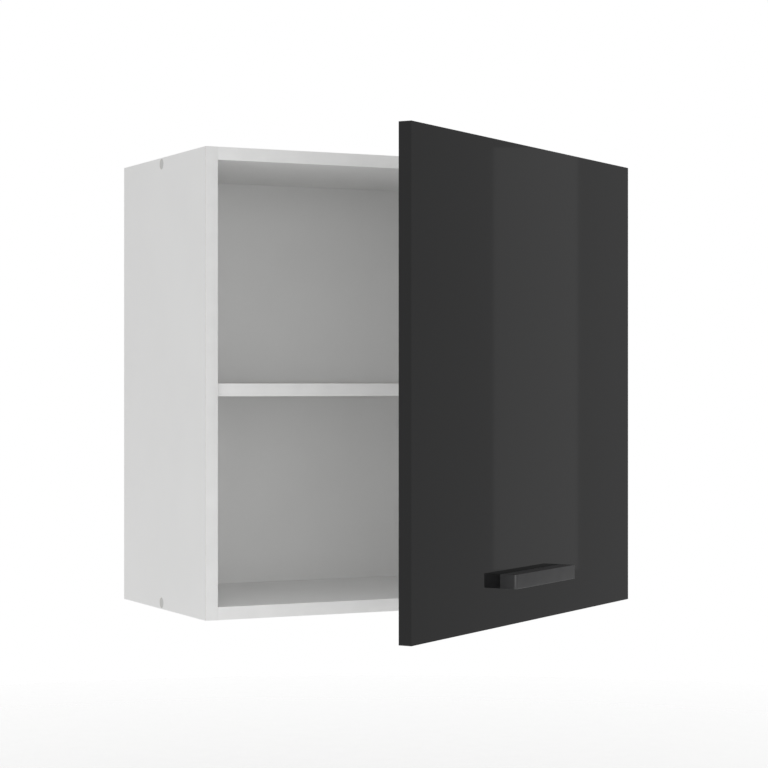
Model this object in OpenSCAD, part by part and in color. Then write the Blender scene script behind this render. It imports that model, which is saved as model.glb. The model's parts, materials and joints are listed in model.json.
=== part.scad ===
// Hanging wall cabinet: white carcass, one shelf, one overlay door on concealed hinges.
// Millimetres. +X right, +Y towards the wall, +Z up. The origin is on the wall plane,
// in the middle of the width, level with the underside of the carcass.

/* [Carcass] */
// Overall width over both side panels
cab_w = 600; // [400:10:800]
// Overall height of the carcass
cab_h = 580; // [480:10:900]
// Depth of the carcass without the door
cab_d = 300; // [260:5:400]
// Thickness of sides, top, bottom and shelf
board_t = 16; // [15:1:19]
// Thickness of the edge banding
band_t = 0.8; // [0.4:0.1:1.2]
// Thickness of the back panel
back_t = 3; // [2.5:0.1:4]
// Gap between the wall and the back panel
wall_gap = 10; // [8:1:16]
// Depth of the groove that holds the back panel
groove_d = 8; // [6:0.5:9]

/* [Shelf] */
// Height of the shelf's top face above the underside of the carcass
shelf_z = 290; // [230:1:330]
// Distance from the carcass front to the shelf front
shelf_setback = 8; // [0:1:30]
// Gap at each end of the shelf
shelf_gap = 1; // [0.5:0.1:2]
// Diameter of the shelf pin holes
pin_d = 5; // [4:0.5:6]
// Distance between shelf pin holes, one above another
pin_pitch = 32; // [24:1:40]

/* [Door] */
// Thickness of the door
door_t = 16; // [15:1:20]
// Margin from the carcass outline to the door edge, on all four sides
door_margin = 1.5; // [1:0.1:2]
// Air between the closed door and the carcass front
door_air = 2; // [1.8:0.1:2.5]
// Angle at which the door stands open as modelled
door_open = 34; // [10:1:80]

/* [Handle] */
// Length of the handle
handle_l = 166; // [150:1:260]
// Height of the handle
handle_h = 17; // [15:1:22]
// Distance the handle stands out from the door
handle_out = 22; // [18:1:32]
// Wall thickness of the handle
handle_wall = 3; // [2.5:0.1:4]
// Distance between the two handle screws
handle_pitch = 128; // [96:32:128]
// Height of the handle's middle above the lower edge of the door
handle_z = 54; // [40:1:80]

/* [Fittings] */
// Distance from the carcass ends to the middle of each hinge
hinge_end = 100; // [80:1:120]
// Diameter of the hinge cup hole
cup_d = 35; // [35:1:36]
// Depth of the hinge cup hole
cup_depth = 12; // [11.8:0.1:12.5]
// Distance from the door's hinge edge to the middle of the cup
cup_edge = 22.5; // [21.5:0.1:24]
// Diameter of the corner screws' caps
cap_d = 13; // [11:0.5:15]
// Distance from the wall to the corner screws
corner_screw_y = 145; // [110:1:180]
// Diameter of the corner dowels
dowel_d = 8; // [6:1:8]
// Height of the hanger housings
hanger_h = 62; // [55:1:70]
// Depth of the hanger housings
hanger_d = 46; // [42:1:60]
// Width of the hanger housings
hanger_w = 21; // [19:1:26]

/* [Hidden] */
$fn = 48;

white = [0.92, 0.92, 0.91];
band_white = [0.88, 0.88, 0.87];
anthracite = [0.13, 0.13, 0.14];
nickel = [0.75, 0.75, 0.74];
zinc = [0.62, 0.63, 0.64];
plastic = [0.86, 0.86, 0.84];
timber = [0.78, 0.62, 0.42];

over = 1;                                  // how far a cutter runs past a face
inner_w = cab_w - 2 * board_t;             // clear width between the sides
front_y = -cab_d;                          // plane of the carcass front, with the banding on
back_y = -wall_gap;                        // rear face of the back panel
groove_play = 0.5;                         // space left at the bottom of the groove
groove_fit = 0.1;                          // play on each face of the back panel

module cylinder_from(z0, z1, d) { translate([0, 0, z0]) cylinder(d = d, h = z1 - z0); }

// cross recess in a screw's head, cut from z0 to z1
module cross_recess(width, slot, z0, z1) {
    for (turn = [0, 90])
        rotate([0, 0, turn]) translate([-width / 2, -slot / 2, z0]) cube([width, slot, z1 - z0]);
}

// screw with its head below z = 0, its shank above, and a cross recess in the head
module wood_screw(head_d, head_l, shank_d, shank_l, recess_w, slot, recess_l) {
    lap = 0.5;
    difference() {
        union() {
            cylinder_from(-head_l, 0, head_d);
            cylinder_from(-lap, shank_l, shank_d);
        }
        cross_recess(recess_w, slot, -head_l - over, -head_l + recess_l);
    }
}

module right_or_left(side) { mirror([side < 0 ? 1 : 0, 0, 0]) children(); }
module on_both_sides() { for (side = [-1, 1]) right_or_left(side) children(); }

// ---- carcass ----

module groove_for_back() {
    translate([-inner_w / 2 - groove_d, back_y - back_t - groove_fit, board_t - groove_d])
        cube([inner_w + 2 * groove_d, back_t + 2 * groove_fit, cab_h - 2 * board_t + 2 * groove_d]);
}

corner_z = [board_t / 2, cab_h - board_t / 2];
dowel_rear = 40;                            // wall plane to the rear dowels
dowel_front = 45;                           // carcass front to the front dowels
dowel_y = [-dowel_rear, front_y + dowel_front];
dowel_l = 30;
dowel_in_side = 11;
drill_play = 0.1;                           // radial and end play of what is pushed into a bore
screw_shank_d = 5;
screw_head_d = 10;
screw_l = 50;
screw_head_l = 4;
socket_d = 4;
socket_depth = 2.5;
cap_t = 1;
cap_stem_l = 1.5;
screw_head_z = cap_t + cap_stem_l;         // depth of the screw's head below the outer face

// places children at the four corner joints, x pointing from the outer face into the carcass
module at_corners(y) {
    for (z = corner_z)
        for (side = [0, 1])
            mirror([side, 0, 0])
                translate([-cab_w / 2, y, z]) rotate([0, 90, 0]) children();
}

module corner_screw_space(play) {
    cylinder(d = screw_shank_d + 2 * play, h = screw_l + play);
    translate([0, 0, -over])
        cylinder(d = screw_head_d + 2 * play, h = over + screw_head_z + screw_head_l + play);
    translate([0, 0, -over]) cylinder(d = cap_d + 2 * play, h = over + cap_t);
}

module dowel_space(play) {
    translate([0, 0, board_t - dowel_in_side - play])
        cylinder(d = dowel_d + 2 * play, h = dowel_l + 2 * play);
}

module corner_cuts() {
    at_corners(-corner_screw_y) corner_screw_space(drill_play);
    for (y = dowel_y) at_corners(y) dowel_space(drill_play);
}

tongue_t = 1.5;                            // thickness of the shelf pin's tongue, under the shelf
pin_z = shelf_z - board_t - tongue_t - pin_d / 2;
pin_inset = 60;                            // from the wall plane and from the front to the pin holes
pin_cols = [-pin_inset, front_y + pin_inset];
pin_hole_depth = 11;

module pin_holes() {
    for (y = pin_cols)
        for (step = [-1, 0, 1])
            for (side = [0, 1])
                mirror([side, 0, 0])
                    translate([-inner_w / 2 - pin_hole_depth, y, pin_z + step * pin_pitch])
                        rotate([0, 90, 0]) cylinder(d = pin_d, h = pin_hole_depth + over);
}

module side_panel(side) {
    difference() {
        translate([side < 0 ? -cab_w / 2 : inner_w / 2, front_y + band_t, 0])
            cube([board_t, cab_d - band_t, cab_h]);
        groove_for_back();
        corner_cuts();
        pin_holes();
        hanger_dowels(side, drill_play);
        if (side > 0) at_hinges() plate_screw_holes();
    }
}

module side_panel_left() { color(white) side_panel(-1); }
module side_panel_right() { color(white) side_panel(1); }

module deck(z) {
    difference() {
        translate([-inner_w / 2, front_y + band_t, z]) cube([inner_w, cab_d - band_t, board_t]);
        groove_for_back();
        corner_cuts();
    }
}

module top_panel() { color(white) deck(cab_h - board_t); }
module bottom_panel() { color(white) deck(0); }

module back_panel() {
    w = inner_w + 2 * (groove_d - groove_play);
    h = cab_h - 2 * board_t + 2 * (groove_d - groove_play);
    color(white) difference() {
        translate([-w / 2, back_y - back_t, (cab_h - h) / 2]) cube([w, back_t, h]);
        for (side = [0, 1]) mirror([side, 0, 0]) hook_window();
    }
}

module edge_band_left() { color(band_white) side_band(0); }
module edge_band_right() { color(band_white) side_band(1); }
module side_band(side) {
    mirror([side, 0, 0]) translate([-cab_w / 2, front_y, 0]) cube([board_t, band_t, cab_h]);
}
module deck_band(z) {
    translate([-inner_w / 2, front_y, z]) cube([inner_w, band_t, board_t]);
}
module edge_band_top() { color(band_white) deck_band(cab_h - board_t); }
module edge_band_bottom() { color(band_white) deck_band(0); }

module corner_screws() {
    color(nickel) at_corners(-corner_screw_y) difference() {
        union() {
            cylinder_from(screw_head_z, screw_head_z + screw_head_l, screw_head_d);
            cylinder_from(screw_head_z + screw_head_l / 2, screw_l, screw_shank_d);
        }
        translate([0, 0, screw_head_z - over]) cylinder(d = socket_d, h = socket_depth + over, $fn = 6);
    }
}

module corner_screw_caps() {
    color(plastic) at_corners(-corner_screw_y) {
        cylinder_from(0, cap_t, cap_d);
        cylinder_from(cap_t / 2, screw_head_z, screw_head_d);
    }
}

module corner_dowels() {
    color(timber) for (y = dowel_y) at_corners(y) dowel_space(0);
}

// ---- shelf ----

shelf_front = front_y + shelf_setback;
shelf_rear_gap = 3;
shelf_rear = back_y - back_t - shelf_rear_gap;

module shelf() {
    color(white) translate([-inner_w / 2 + shelf_gap, shelf_front + band_t, shelf_z - board_t])
        cube([inner_w - 2 * shelf_gap, shelf_rear - shelf_front - band_t, board_t]);
}
module edge_band_shelf() {
    color(band_white) translate([-inner_w / 2 + shelf_gap, shelf_front, shelf_z - board_t])
        cube([inner_w - 2 * shelf_gap, band_t, board_t]);
}
// a round peg in the side, a tongue under the shelf
module shelf_pins() {
    peg_in = pin_hole_depth - 2;
    tongue_l = 9;
    tongue_w = 10;
    collar_t = 1;
    lap = 0.5;
    color(nickel) for (y = pin_cols, side = [0, 1]) mirror([side, 0, 0])
        translate([-inner_w / 2, y, pin_z]) {
            rotate([0, 90, 0]) translate([0, 0, -peg_in]) cylinder(d = pin_d, h = peg_in + tongue_l);
            translate([0, -tongue_w / 2, pin_d / 2 - lap]) cube([tongue_l, tongue_w, tongue_t + lap]);
            translate([0, -tongue_w / 2, -pin_d]) cube([collar_t, tongue_w, pin_d * 1.5]);
        }
}

// ---- hangers in the two rear top corners ----

hook_t = 3;                                // thickness of the hook's steel
hook_w = 11;                               // width of the hook along x
hook_travel = 3;                           // height adjustment each way
hook_play = 0.4;                           // play round the hook
hanger_z1 = cab_h - board_t;               // top of the housing
hanger_z0 = hanger_z1 - hanger_h;
hanger_y1 = back_y - back_t;               // rear of the housing, on the back panel
hanger_y0 = hanger_y1 - hanger_d;
hook_from_side = 5;                        // side panel to the hook
hook_x0 = inner_w / 2 - hook_from_side - hook_w;  // the hook's inner face, right-hand side
hook_from_top = 27.9;                      // top of the housing to the middle of the hook's arm
hook_z = hanger_z1 - hook_from_top;
hook_lip = 22;                             // how far the hook's tip turns down
hook_heel = 12;                            // how far its other end turns down, inside the housing
hook_from_front = 10;                      // front of the housing to the heel
hook_tip_y = -1.5;                         // the tip stops short of the wall
slot_h = hook_t + 2 * (hook_travel + hook_play);
cover_t = 1.5;
cover_fit = 0.3;
cover_clear = 0.2;                         // cover's clearance from the side, top and back panels
hanger_dowel_d = 10;
hanger_dowel_l = 10;
hanger_dowel_end = 12;                     // ends of the housing to its dowels
hanger_dowel_z = [hanger_z0 + hanger_dowel_end, hanger_z1 - hanger_dowel_end];
hanger_screw_z = [hanger_z0 + 12, hanger_z0 + 26];  // tilt screw and height screw
hanger_screw_d = 5;
hanger_screw_head_d = 7;
hanger_screw_head_l = 3.2;
hanger_screw_l = 6.5;
hanger_screw_sink = 0.3;                   // the heads lie this far below the housing's front
hanger_bore_play = 0.1;
channel_front = 8;                         // front of the housing to the hook's channel

module hanger_dowels(side, play) {
    right_or_left(side) for (z = hanger_dowel_z)
        translate([inner_w / 2 - over, hanger_y0 + hanger_d / 2, z])
            rotate([0, 90, 0]) cylinder(d = hanger_dowel_d + 2 * play, h = hanger_dowel_l + over + play);
}

// the way through the back panel that the hook moves in
module hook_window() {
    rim = [1.5, 1];                        // room at each side, and above and below the hook's travel
    translate([hook_x0 - rim[0], back_y - back_t - over, hook_z - slot_h / 2 - rim[1]])
        cube([hook_w + 2 * rim[0], back_t + 2 * over, slot_h + 2 * rim[1]]);
}

module hanger_housing(side) {
    heel_room = hook_heel + 4;
    heel_room_d = hook_t + 9;
    right_or_left(side) difference() {
        union() {
            translate([inner_w / 2 - hanger_w, hanger_y0, hanger_z0]) cube([hanger_w, hanger_d, hanger_h]);
            hanger_dowels(1, 0);
        }
        // channel for the hook, open to the rear
        translate([hook_x0 - hook_play, hanger_y0 + channel_front, hook_z - slot_h / 2])
            cube([hook_w + 2 * hook_play, hanger_d, slot_h]);
        // channel for the hook's heel, which hangs down inside
        translate([hook_x0 - hook_play, hanger_y0 + channel_front, hook_z - slot_h / 2 - heel_room])
            cube([hook_w + 2 * hook_play, heel_room_d, slot_h + heel_room]);
        hanger_screw_places() {
            cylinder_from(-over, hanger_screw_sink + hanger_screw_head_l + 0.5, hanger_screw_head_d + 0.6);
            cylinder_from(0, hanger_screw_l + 0.5, hanger_screw_d + 2 * hanger_bore_play);
        }
    }
}
module hanger_housing_left() { color(plastic) hanger_housing(-1); }
module hanger_housing_right() { color(plastic) hanger_housing(1); }

module hanger_screw_places() {
    for (z = hanger_screw_z)
        translate([hook_x0 + hook_w / 2, hanger_y0, z]) rotate([-90, 0, 0]) children();
}

module hanger_hook(side) {
    heel_y = hanger_y0 + hook_from_front;
    right_or_left(side) translate([hook_x0, 0, hook_z]) {
        translate([0, heel_y, -hook_t / 2]) cube([hook_w, hook_tip_y - heel_y, hook_t]);
        translate([0, hook_tip_y - hook_t, -hook_lip]) cube([hook_w, hook_t, hook_lip]);
        translate([0, heel_y, -hook_t / 2 - hook_heel]) cube([hook_w, hook_t, hook_heel + hook_t / 2]);
    }
}
module hanger_hook_left() { color(zinc) hanger_hook(-1); }
module hanger_hook_right() { color(zinc) hanger_hook(1); }

module hanger_screws() {
    head_to = hanger_screw_sink + hanger_screw_head_l;
    color(nickel) on_both_sides() hanger_screw_places() difference() {
        union() {
            cylinder_from(hanger_screw_sink, head_to, hanger_screw_head_d);
            cylinder_from(hanger_screw_sink, hanger_screw_l, hanger_screw_d);
        }
        cross_recess(4.8, 1, -over, hanger_screw_sink + 2);
    }
}

// a thin cap over the front, the free side and the underside of the housing
module hanger_cover(side) {
    x0 = inner_w / 2 - hanger_w - cover_fit - cover_t;
    y0 = hanger_y0 - cover_fit - cover_t;
    z0 = hanger_z0 - cover_fit - cover_t;
    grow = cover_fit + cover_t;
    short = grow - cover_clear;
    right_or_left(side) difference() {
        translate([x0, y0, z0]) cube([hanger_w + short, hanger_d + short, hanger_h + short]);
        translate([x0 + cover_t, y0 + cover_t, z0 + cover_t])
            cube([hanger_w + grow, hanger_d + grow, hanger_h + grow]);
        hanger_screw_places() cylinder_from(-grow - over, 0, hanger_screw_head_d + 2);
    }
}
module hanger_cover_left() { color(plastic) hanger_cover(-1); }
module hanger_cover_right() { color(plastic) hanger_cover(1); }

// ---- concealed hinges ----
// Plan positions are [x, y] from the outer face of the right side and the carcass front.

hinge_zs = [hinge_end, cab_h - hinge_end];
cup_plan_x = -door_margin - cup_edge;      // middle of the cup, door closed
pivot_from_cup = 6.4;                      // middle of the cup to the outer link's pin
pivot_in_door = 3;                         // the door's back face to the same pin
cup_pivot = [cup_plan_x + pivot_from_cup, -door_air - pivot_in_door];  // outer link in the cup
usual_reach = 16.1;                        // cup's pin to the door's hinge edge, as the links are drawn
link_scale = (cup_edge - pivot_from_cup) / usual_reach;  // longer links clear a wider edge
arm_pivot = cup_pivot + link_scale * [-30.4, 9];         // outer link on the arm
arm_pivot_2 = arm_pivot + link_scale * [-12, 0];         // inner link on the arm
outer_ratio = -0.43;                       // turn of the outer link for one turn of the door
inner_ratio = -0.37;                       // turn of the inner link for one turn of the door
inner_len = 39.9 * link_scale;             // between the inner link's pins
inner_start = -13.1;                       // direction of the inner link, door closed
link_pin_d = 3;
pin_run = 0.05;                            // radial running clearance
cheek_in = 8.3;                            // arm cheeks: inner and outer distance from the middle
cheek_out = 9.5;
plate_in = 6.4;                            // outer link plates: inner and outer distance
plate_out = 7.9;
inner_half = 5.5;                          // half the inner link's width
web_t = 1.2;

door_hinge_x = cab_w / 2 - door_margin;    // the door's hinge edge when closed
door_w = cab_w - 2 * door_margin;
door_h = cab_h - 2 * door_margin;
door_back = front_y - door_air;
door_front = door_back - door_t;
cup_x = cab_w / 2 + cup_plan_x;

module at_hinge(z) { translate([cab_w / 2, front_y, z]) children(); }
module at_hinges() { for (z = hinge_zs) at_hinge(z) children(); }

// turns children about a plan point
module turn_about(p, angle) {
    translate([p[0], p[1], 0]) rotate([0, 0, angle]) translate([-p[0], -p[1], 0]) children();
}
// moves a piece from its place on the closed door to the open one
module on_open_door() {
    translate([cab_w / 2, front_y, 0])
        turn_about(arm_pivot, outer_ratio * door_open)
            turn_about(cup_pivot, (1 - outer_ratio) * door_open)
                translate([-cab_w / 2, -front_y, 0]) children();
}

plate_screw_y = 37;
plate_screw_z = [-16, 16];
plate_t = 2.5;
plate_w = 16;
plate_h = 48;
boss_y = [30, 76];
boss_top = -arm_pivot[0] - 4;              // height of the boss, from the outer face of the side
arm_top = boss_top + 2;
arm_screw_y = [44, 64];
arm_screw_d = 5;
plate_screw_l = 11;

module plate_screw_holes() {
    for (dz = plate_screw_z) translate([-board_t - over, plate_screw_y, dz])
        rotate([0, 90, 0]) cylinder(d = 4, h = plate_screw_l + 1 + over);
}

module hinge_plate(z) {
    boss_half_z = cheek_in - 0.4;
    at_hinge(z) difference() {
        union() {
            translate([-board_t - plate_t, plate_screw_y - plate_w / 2, -plate_h / 2])
                cube([plate_t, plate_w, plate_h]);
            translate([-boss_top, boss_y[0], -boss_half_z])
                cube([boss_top - board_t, boss_y[1] - boss_y[0], 2 * boss_half_z]);
        }
        for (dz = plate_screw_z) translate([-board_t - plate_t - over, plate_screw_y, dz])
            rotate([0, 90, 0]) cylinder(d = 4.4, h = plate_t + 2 * over);
        arm_screw_places() cylinder_from(-over, 12, arm_screw_d + 0.2);
    }
}
module hinge_plate_lower() { color(zinc) hinge_plate(hinge_zs[0]); }
module hinge_plate_upper() { color(zinc) hinge_plate(hinge_zs[1]); }

module hinge_plate_screws() {
    color(nickel) at_hinges() for (dz = plate_screw_z)
        translate([-board_t - plate_t, plate_screw_y, dz]) rotate([0, 90, 0])
            wood_screw(7.5, 2, 3.8, plate_t + plate_screw_l, 4.4, 0.9, 1.4);
}

// screws through the arm's web into the boss, head outwards
module arm_screw_places() {
    for (y = arm_screw_y) translate([-boss_top, y, 0]) rotate([0, 90, 0]) children();
}

module hinge_arm(z) {
    tip_r = 3.4;
    b = arm_pivot_2;
    a = arm_pivot;
    knee_y = boss_y[0] - 2;
    heel_y = boss_y[1] + 2;
    shoulder_y = b[1] + 6;
    foot_x = -arm_top + 16;
    slant_t = 1.6 * web_t;                 // the slanting web, measured along x
    lap = 0.1;
    at_hinge(z) difference() {
        union() {
            for (side = [0, 1]) mirror([0, 0, side]) translate([0, 0, cheek_in])
                linear_extrude(cheek_out - cheek_in) union() {
                    translate(a) circle(tip_r);
                    translate(b) circle(tip_r);
                    polygon([
                        [b[0], b[1] - tip_r], [a[0], a[1] - tip_r], [a[0] + tip_r, a[1]],
                        [foot_x, knee_y - 4], [foot_x, heel_y], [-arm_top, heel_y], [-arm_top, knee_y],
                        [b[0] - tip_r, shoulder_y], [b[0] - tip_r, b[1]]
                    ]);
                }
            // the web joins the cheeks, along the boss and then down to the pivots
            translate([-arm_top, knee_y, -cheek_in - lap])
                cube([web_t, heel_y - knee_y, 2 * (cheek_in + lap)]);
            translate([0, 0, -cheek_in - lap]) linear_extrude(2 * (cheek_in + lap)) polygon([
                [-arm_top, knee_y], [-arm_top + web_t, knee_y],
                [b[0] - tip_r + slant_t, shoulder_y + web_t], [b[0] - tip_r, shoulder_y]
            ]);
        }
        arm_screw_places() cylinder_from(-4, 2, arm_screw_d + 0.4);
        for (p = [a, b]) translate([p[0], p[1], -cheek_out - over])
            cylinder(d = link_pin_d, h = 2 * (cheek_out + over));
    }
}
module hinge_arm_lower() { color(nickel) hinge_arm(hinge_zs[0]); }
module hinge_arm_upper() { color(nickel) hinge_arm(hinge_zs[1]); }

module hinge_arm_screws() {
    web_top = boss_top - arm_top;          // the head lies on the outside of the web
    color(nickel) at_hinges() arm_screw_places() translate([0, 0, web_top])
        wood_screw(9, 2.5, arm_screw_d, 11 - web_top, 6, 1.2, 1.7);
}

stub_in = 6.1;                             // inner end of the short pins
pin_proud = 0.4;                           // how far a pin's end stands out

// short pins for the outer link, one long pin for the inner link
module hinge_arm_pins() {
    color(nickel) at_hinges() {
        for (side = [0, 1]) mirror([0, 0, side])
            translate([arm_pivot[0], arm_pivot[1], stub_in])
                cylinder(d = link_pin_d, h = cheek_out + pin_proud - stub_in);
        translate([arm_pivot_2[0], arm_pivot_2[1], -cheek_out - pin_proud])
            cylinder(d = link_pin_d, h = 2 * (cheek_out + pin_proud));
    }
}

// a flat bar with round ends from p to q
module bar_2d(p, q, width, end_r) {
    d = q - p;
    translate(p) rotate(atan2(d[1], d[0])) union() {
        translate([0, -width / 2]) square([norm(d), width]);
        circle(end_r);
        translate([norm(d), 0]) circle(end_r);
    }
}

module outer_link(z) {
    at_hinge(z) turn_about(arm_pivot, outer_ratio * door_open)
        for (side = [0, 1]) mirror([0, 0, side]) translate([0, 0, plate_in]) difference() {
            linear_extrude(plate_out - plate_in) bar_2d(arm_pivot, cup_pivot, 3.2, 2.8);
            for (p = [arm_pivot, cup_pivot]) translate([p[0], p[1], -over])
                cylinder(d = link_pin_d + 2 * pin_run, h = plate_out - plate_in + 2 * over);
        }
}
module outer_link_lower() { color(nickel) outer_link(hinge_zs[0]); }
module outer_link_upper() { color(nickel) outer_link(hinge_zs[1]); }

inner_angle = inner_start + inner_ratio * door_open;
inner_end = arm_pivot_2 + inner_len * [cos(inner_angle), sin(inner_angle)];

module inner_link(z) {
    at_hinge(z) difference() {
        translate([0, 0, -inner_half]) linear_extrude(2 * inner_half)
            bar_2d(arm_pivot_2, inner_end, 2.6, 2.4);
        translate([arm_pivot_2[0], arm_pivot_2[1], -inner_half - over])
            cylinder(d = link_pin_d + 2 * pin_run, h = 2 * (inner_half + over));
        translate([inner_end[0], inner_end[1], -inner_half - over])
            cylinder(d = link_pin_d, h = 2 * (inner_half + over));
    }
}
module inner_link_lower() { color(nickel) inner_link(hinge_zs[0]); }
module inner_link_upper() { color(nickel) inner_link(hinge_zs[1]); }

module inner_link_pins() {
    color(nickel) at_hinges() translate([inner_end[0], inner_end[1], -inner_half - pin_proud])
        cylinder(d = link_pin_d, h = 2 * (inner_half + pin_proud));
}

// ---- door and what is on it; drawn on the closed door, then turned open ----

cup_wall = 1.1;
cup_play = 0.1;
cup_half_z = 8.8;                          // half the height of the cup's pocket
rim_drop = 0.6;                            // how far the rim lies below the door's back face
ear_t = 1;
ear_screw_x = -9.5;                        // from the middle of the cup
ear_screw_z = 24;
ear_r = 6;                                 // round end of the ear
ear_w = 20;
ear_rim = 1.5;                             // the flange stands out round the cup
ear_screw_d = 3.6;
ear_screw_l = 13;
cup_floor_gap = 0.5;                       // between the cup and the bottom of its bore
cup_pin_in_wall = 3;
cup_body_d = cup_d - 2 * cup_play;

// z axis along the cup, from the door's back face into the door
module at_cup(z) { translate([cup_x, door_back, z]) rotate([90, 0, 0]) children(); }

module ear_2d() {
    difference() {
        union() {
            circle(d = cup_d + 2 * ear_rim);
            for (side = [-1, 1]) {
                translate([ear_screw_x, side * ear_screw_z]) circle(ear_r);
                translate([ear_screw_x - ear_r, side > 0 ? 0 : -ear_screw_z]) square([ear_w, ear_screw_z]);
            }
        }
        square([2 * cup_d, 2 * cup_half_z], center = true);
        for (side = [-1, 1]) translate([ear_screw_x, side * ear_screw_z]) circle(d = ear_screw_d + 0.4);
    }
}

module hinge_cup(z) {
    on_open_door() at_cup(z) difference() {
        union() {
            cylinder(d = cup_body_d, h = cup_depth - cup_floor_gap);
            translate([0, 0, -ear_t]) linear_extrude(ear_t) ear_2d();
        }
        intersection() {
            cylinder_from(-over, cup_depth - cup_floor_gap - cup_wall, cup_body_d - 2 * cup_wall);
            translate([-cup_d, -cup_half_z, -over]) cube([2 * cup_d, 2 * cup_half_z, cup_depth]);
        }
        // the rim is lower where the links pass over it
        translate([-cup_d, -cup_half_z, -over]) cube([2 * cup_d, 2 * cup_half_z, over + rim_drop]);
        for (side = [-1, 1]) translate([pivot_from_cup, side * (cup_half_z - over), pivot_in_door])
            rotate([side > 0 ? -90 : 90, 0, 0]) cylinder(d = link_pin_d, h = cup_pin_in_wall + 0.2 + over);
    }
}
module hinge_cup_lower() { color(nickel) hinge_cup(hinge_zs[0]); }
module hinge_cup_upper() { color(nickel) hinge_cup(hinge_zs[1]); }

module hinge_cup_pins() {
    color(nickel) on_open_door() at_hinges() for (side = [0, 1]) mirror([0, 0, side])
        translate([cup_pivot[0], cup_pivot[1], stub_in])
            cylinder(d = link_pin_d, h = cup_half_z + cup_pin_in_wall - stub_in);
}

module hinge_cup_screws() {
    color(nickel) on_open_door() for (z = hinge_zs) at_cup(z) for (side = [-1, 1])
        translate([ear_screw_x, side * ear_screw_z, -ear_t])
            wood_screw(7, 1.8, ear_screw_d, ear_screw_l, 4.2, 0.9, 1.2);
}

handle_x = door_hinge_x - door_w / 2;
handle_mid_z = door_margin + handle_z;
handle_screw_d = 4;

module at_handle() { translate([handle_x, door_front, handle_mid_z]) rotate([90, 0, 0]) children(); }

module door_panel() {
    color(anthracite) on_open_door() difference() {
        translate([door_hinge_x - door_w, door_front, door_margin]) cube([door_w, door_t, door_h]);
        for (z = hinge_zs) at_cup(z) {
            cylinder_from(-over, cup_depth, cup_d);
            for (side = [-1, 1]) translate([ear_screw_x, side * ear_screw_z, 0])
                cylinder_from(-over, ear_screw_l, ear_screw_d + 0.2);
        }
        at_handle() for (side = [-1, 1]) translate([side * handle_pitch / 2, 0, -door_t - over])
            cylinder(d = handle_screw_d + 0.8, h = door_t + 2 * over);
    }
}

// rectangle l by d on the x axis with its two far corners rounded; y points out from the door
module round_front_2d(l, d, r) {
    translate([-l / 2, 0]) square([l, d - r]);
    translate([-l / 2 + r, 0]) square([l - 2 * r, d]);
    for (side = [-1, 1]) translate([side * (l / 2 - r), d - r]) circle(r);
}
module handle_outline(r) { round_front_2d(handle_l, handle_out, r); }

handle_corner = 3.5;
boss_half = 5;
boss_cap = 1;                              // the bosses stop short of the outer faces
handle_bore_l = handle_out - 6;            // depth of the screws' bores, from the door's face
handle_bore_gap = 2;                       // left beyond the screw's end

// closed top, front and ends; open below for the fingers
module handle() {
    color(anthracite) on_open_door() translate([handle_x, door_front, handle_mid_z - handle_h / 2])
        mirror([0, 1, 0]) difference() {
            linear_extrude(handle_h) handle_outline(handle_corner);
            difference() {
                translate([0, 0, -over]) linear_extrude(handle_h - handle_wall + over) handle_pocket_2d();
                for (side = [-1, 1])
                    translate([side * handle_pitch / 2 - boss_half, 0, handle_h / 2 - boss_half])
                        cube([2 * boss_half, handle_out - boss_cap, handle_h / 2 + boss_half - boss_cap]);
            }
            for (side = [-1, 1]) translate([side * handle_pitch / 2, 0, handle_h / 2])
                rotate([-90, 0, 0]) cylinder_from(-over, handle_bore_l, handle_screw_d);
        }
}
module handle_pocket_2d() {
    r = max(handle_corner - handle_wall, 0.2);
    translate([0, -over]) round_front_2d(handle_l - 2 * handle_wall, handle_out - handle_wall + over, r);
}

module handle_screws() {
    grip_l = handle_bore_l - handle_bore_gap;
    color(nickel) on_open_door() at_handle() for (side = [-1, 1])
        translate([side * handle_pitch / 2, 0, -door_t])
            wood_screw(8, 2.4, handle_screw_d, door_t + grip_l, 5, 1, 1.5);
}

module door_bumpers() {
    bumper_t = door_air - 0.4;
    color(plastic) on_open_door() for (z = corner_z)
        translate([-cab_w / 2 + board_t / 2, door_back, z]) rotate([-90, 0, 0]) cylinder(d = 8, h = bumper_t);
}

side_panel_left();
side_panel_right();
top_panel();
bottom_panel();
back_panel();
edge_band_left();
edge_band_right();
edge_band_top();
edge_band_bottom();
shelf();
edge_band_shelf();
shelf_pins();
corner_screws();
corner_screw_caps();
corner_dowels();
hanger_housing_left();
hanger_housing_right();
hanger_hook_left();
hanger_hook_right();
hanger_screws();
hanger_cover_left();
hanger_cover_right();
hinge_plate_lower();
hinge_plate_upper();
hinge_plate_screws();
hinge_arm_lower();
hinge_arm_upper();
hinge_arm_screws();
hinge_arm_pins();
outer_link_lower();
outer_link_upper();
inner_link_lower();
inner_link_upper();
inner_link_pins();
hinge_cup_lower();
hinge_cup_upper();
hinge_cup_pins();
hinge_cup_screws();
door_panel();
handle();
handle_screws();
door_bumpers();
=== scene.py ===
"""Looks of the hanging wall cabinet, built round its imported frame.

Boards, fittings and the door take their places from the frame's nodes. What turns with the
door is worked out in the door's own axes, which are the cabinet's turned by the open angle.
"""

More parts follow.
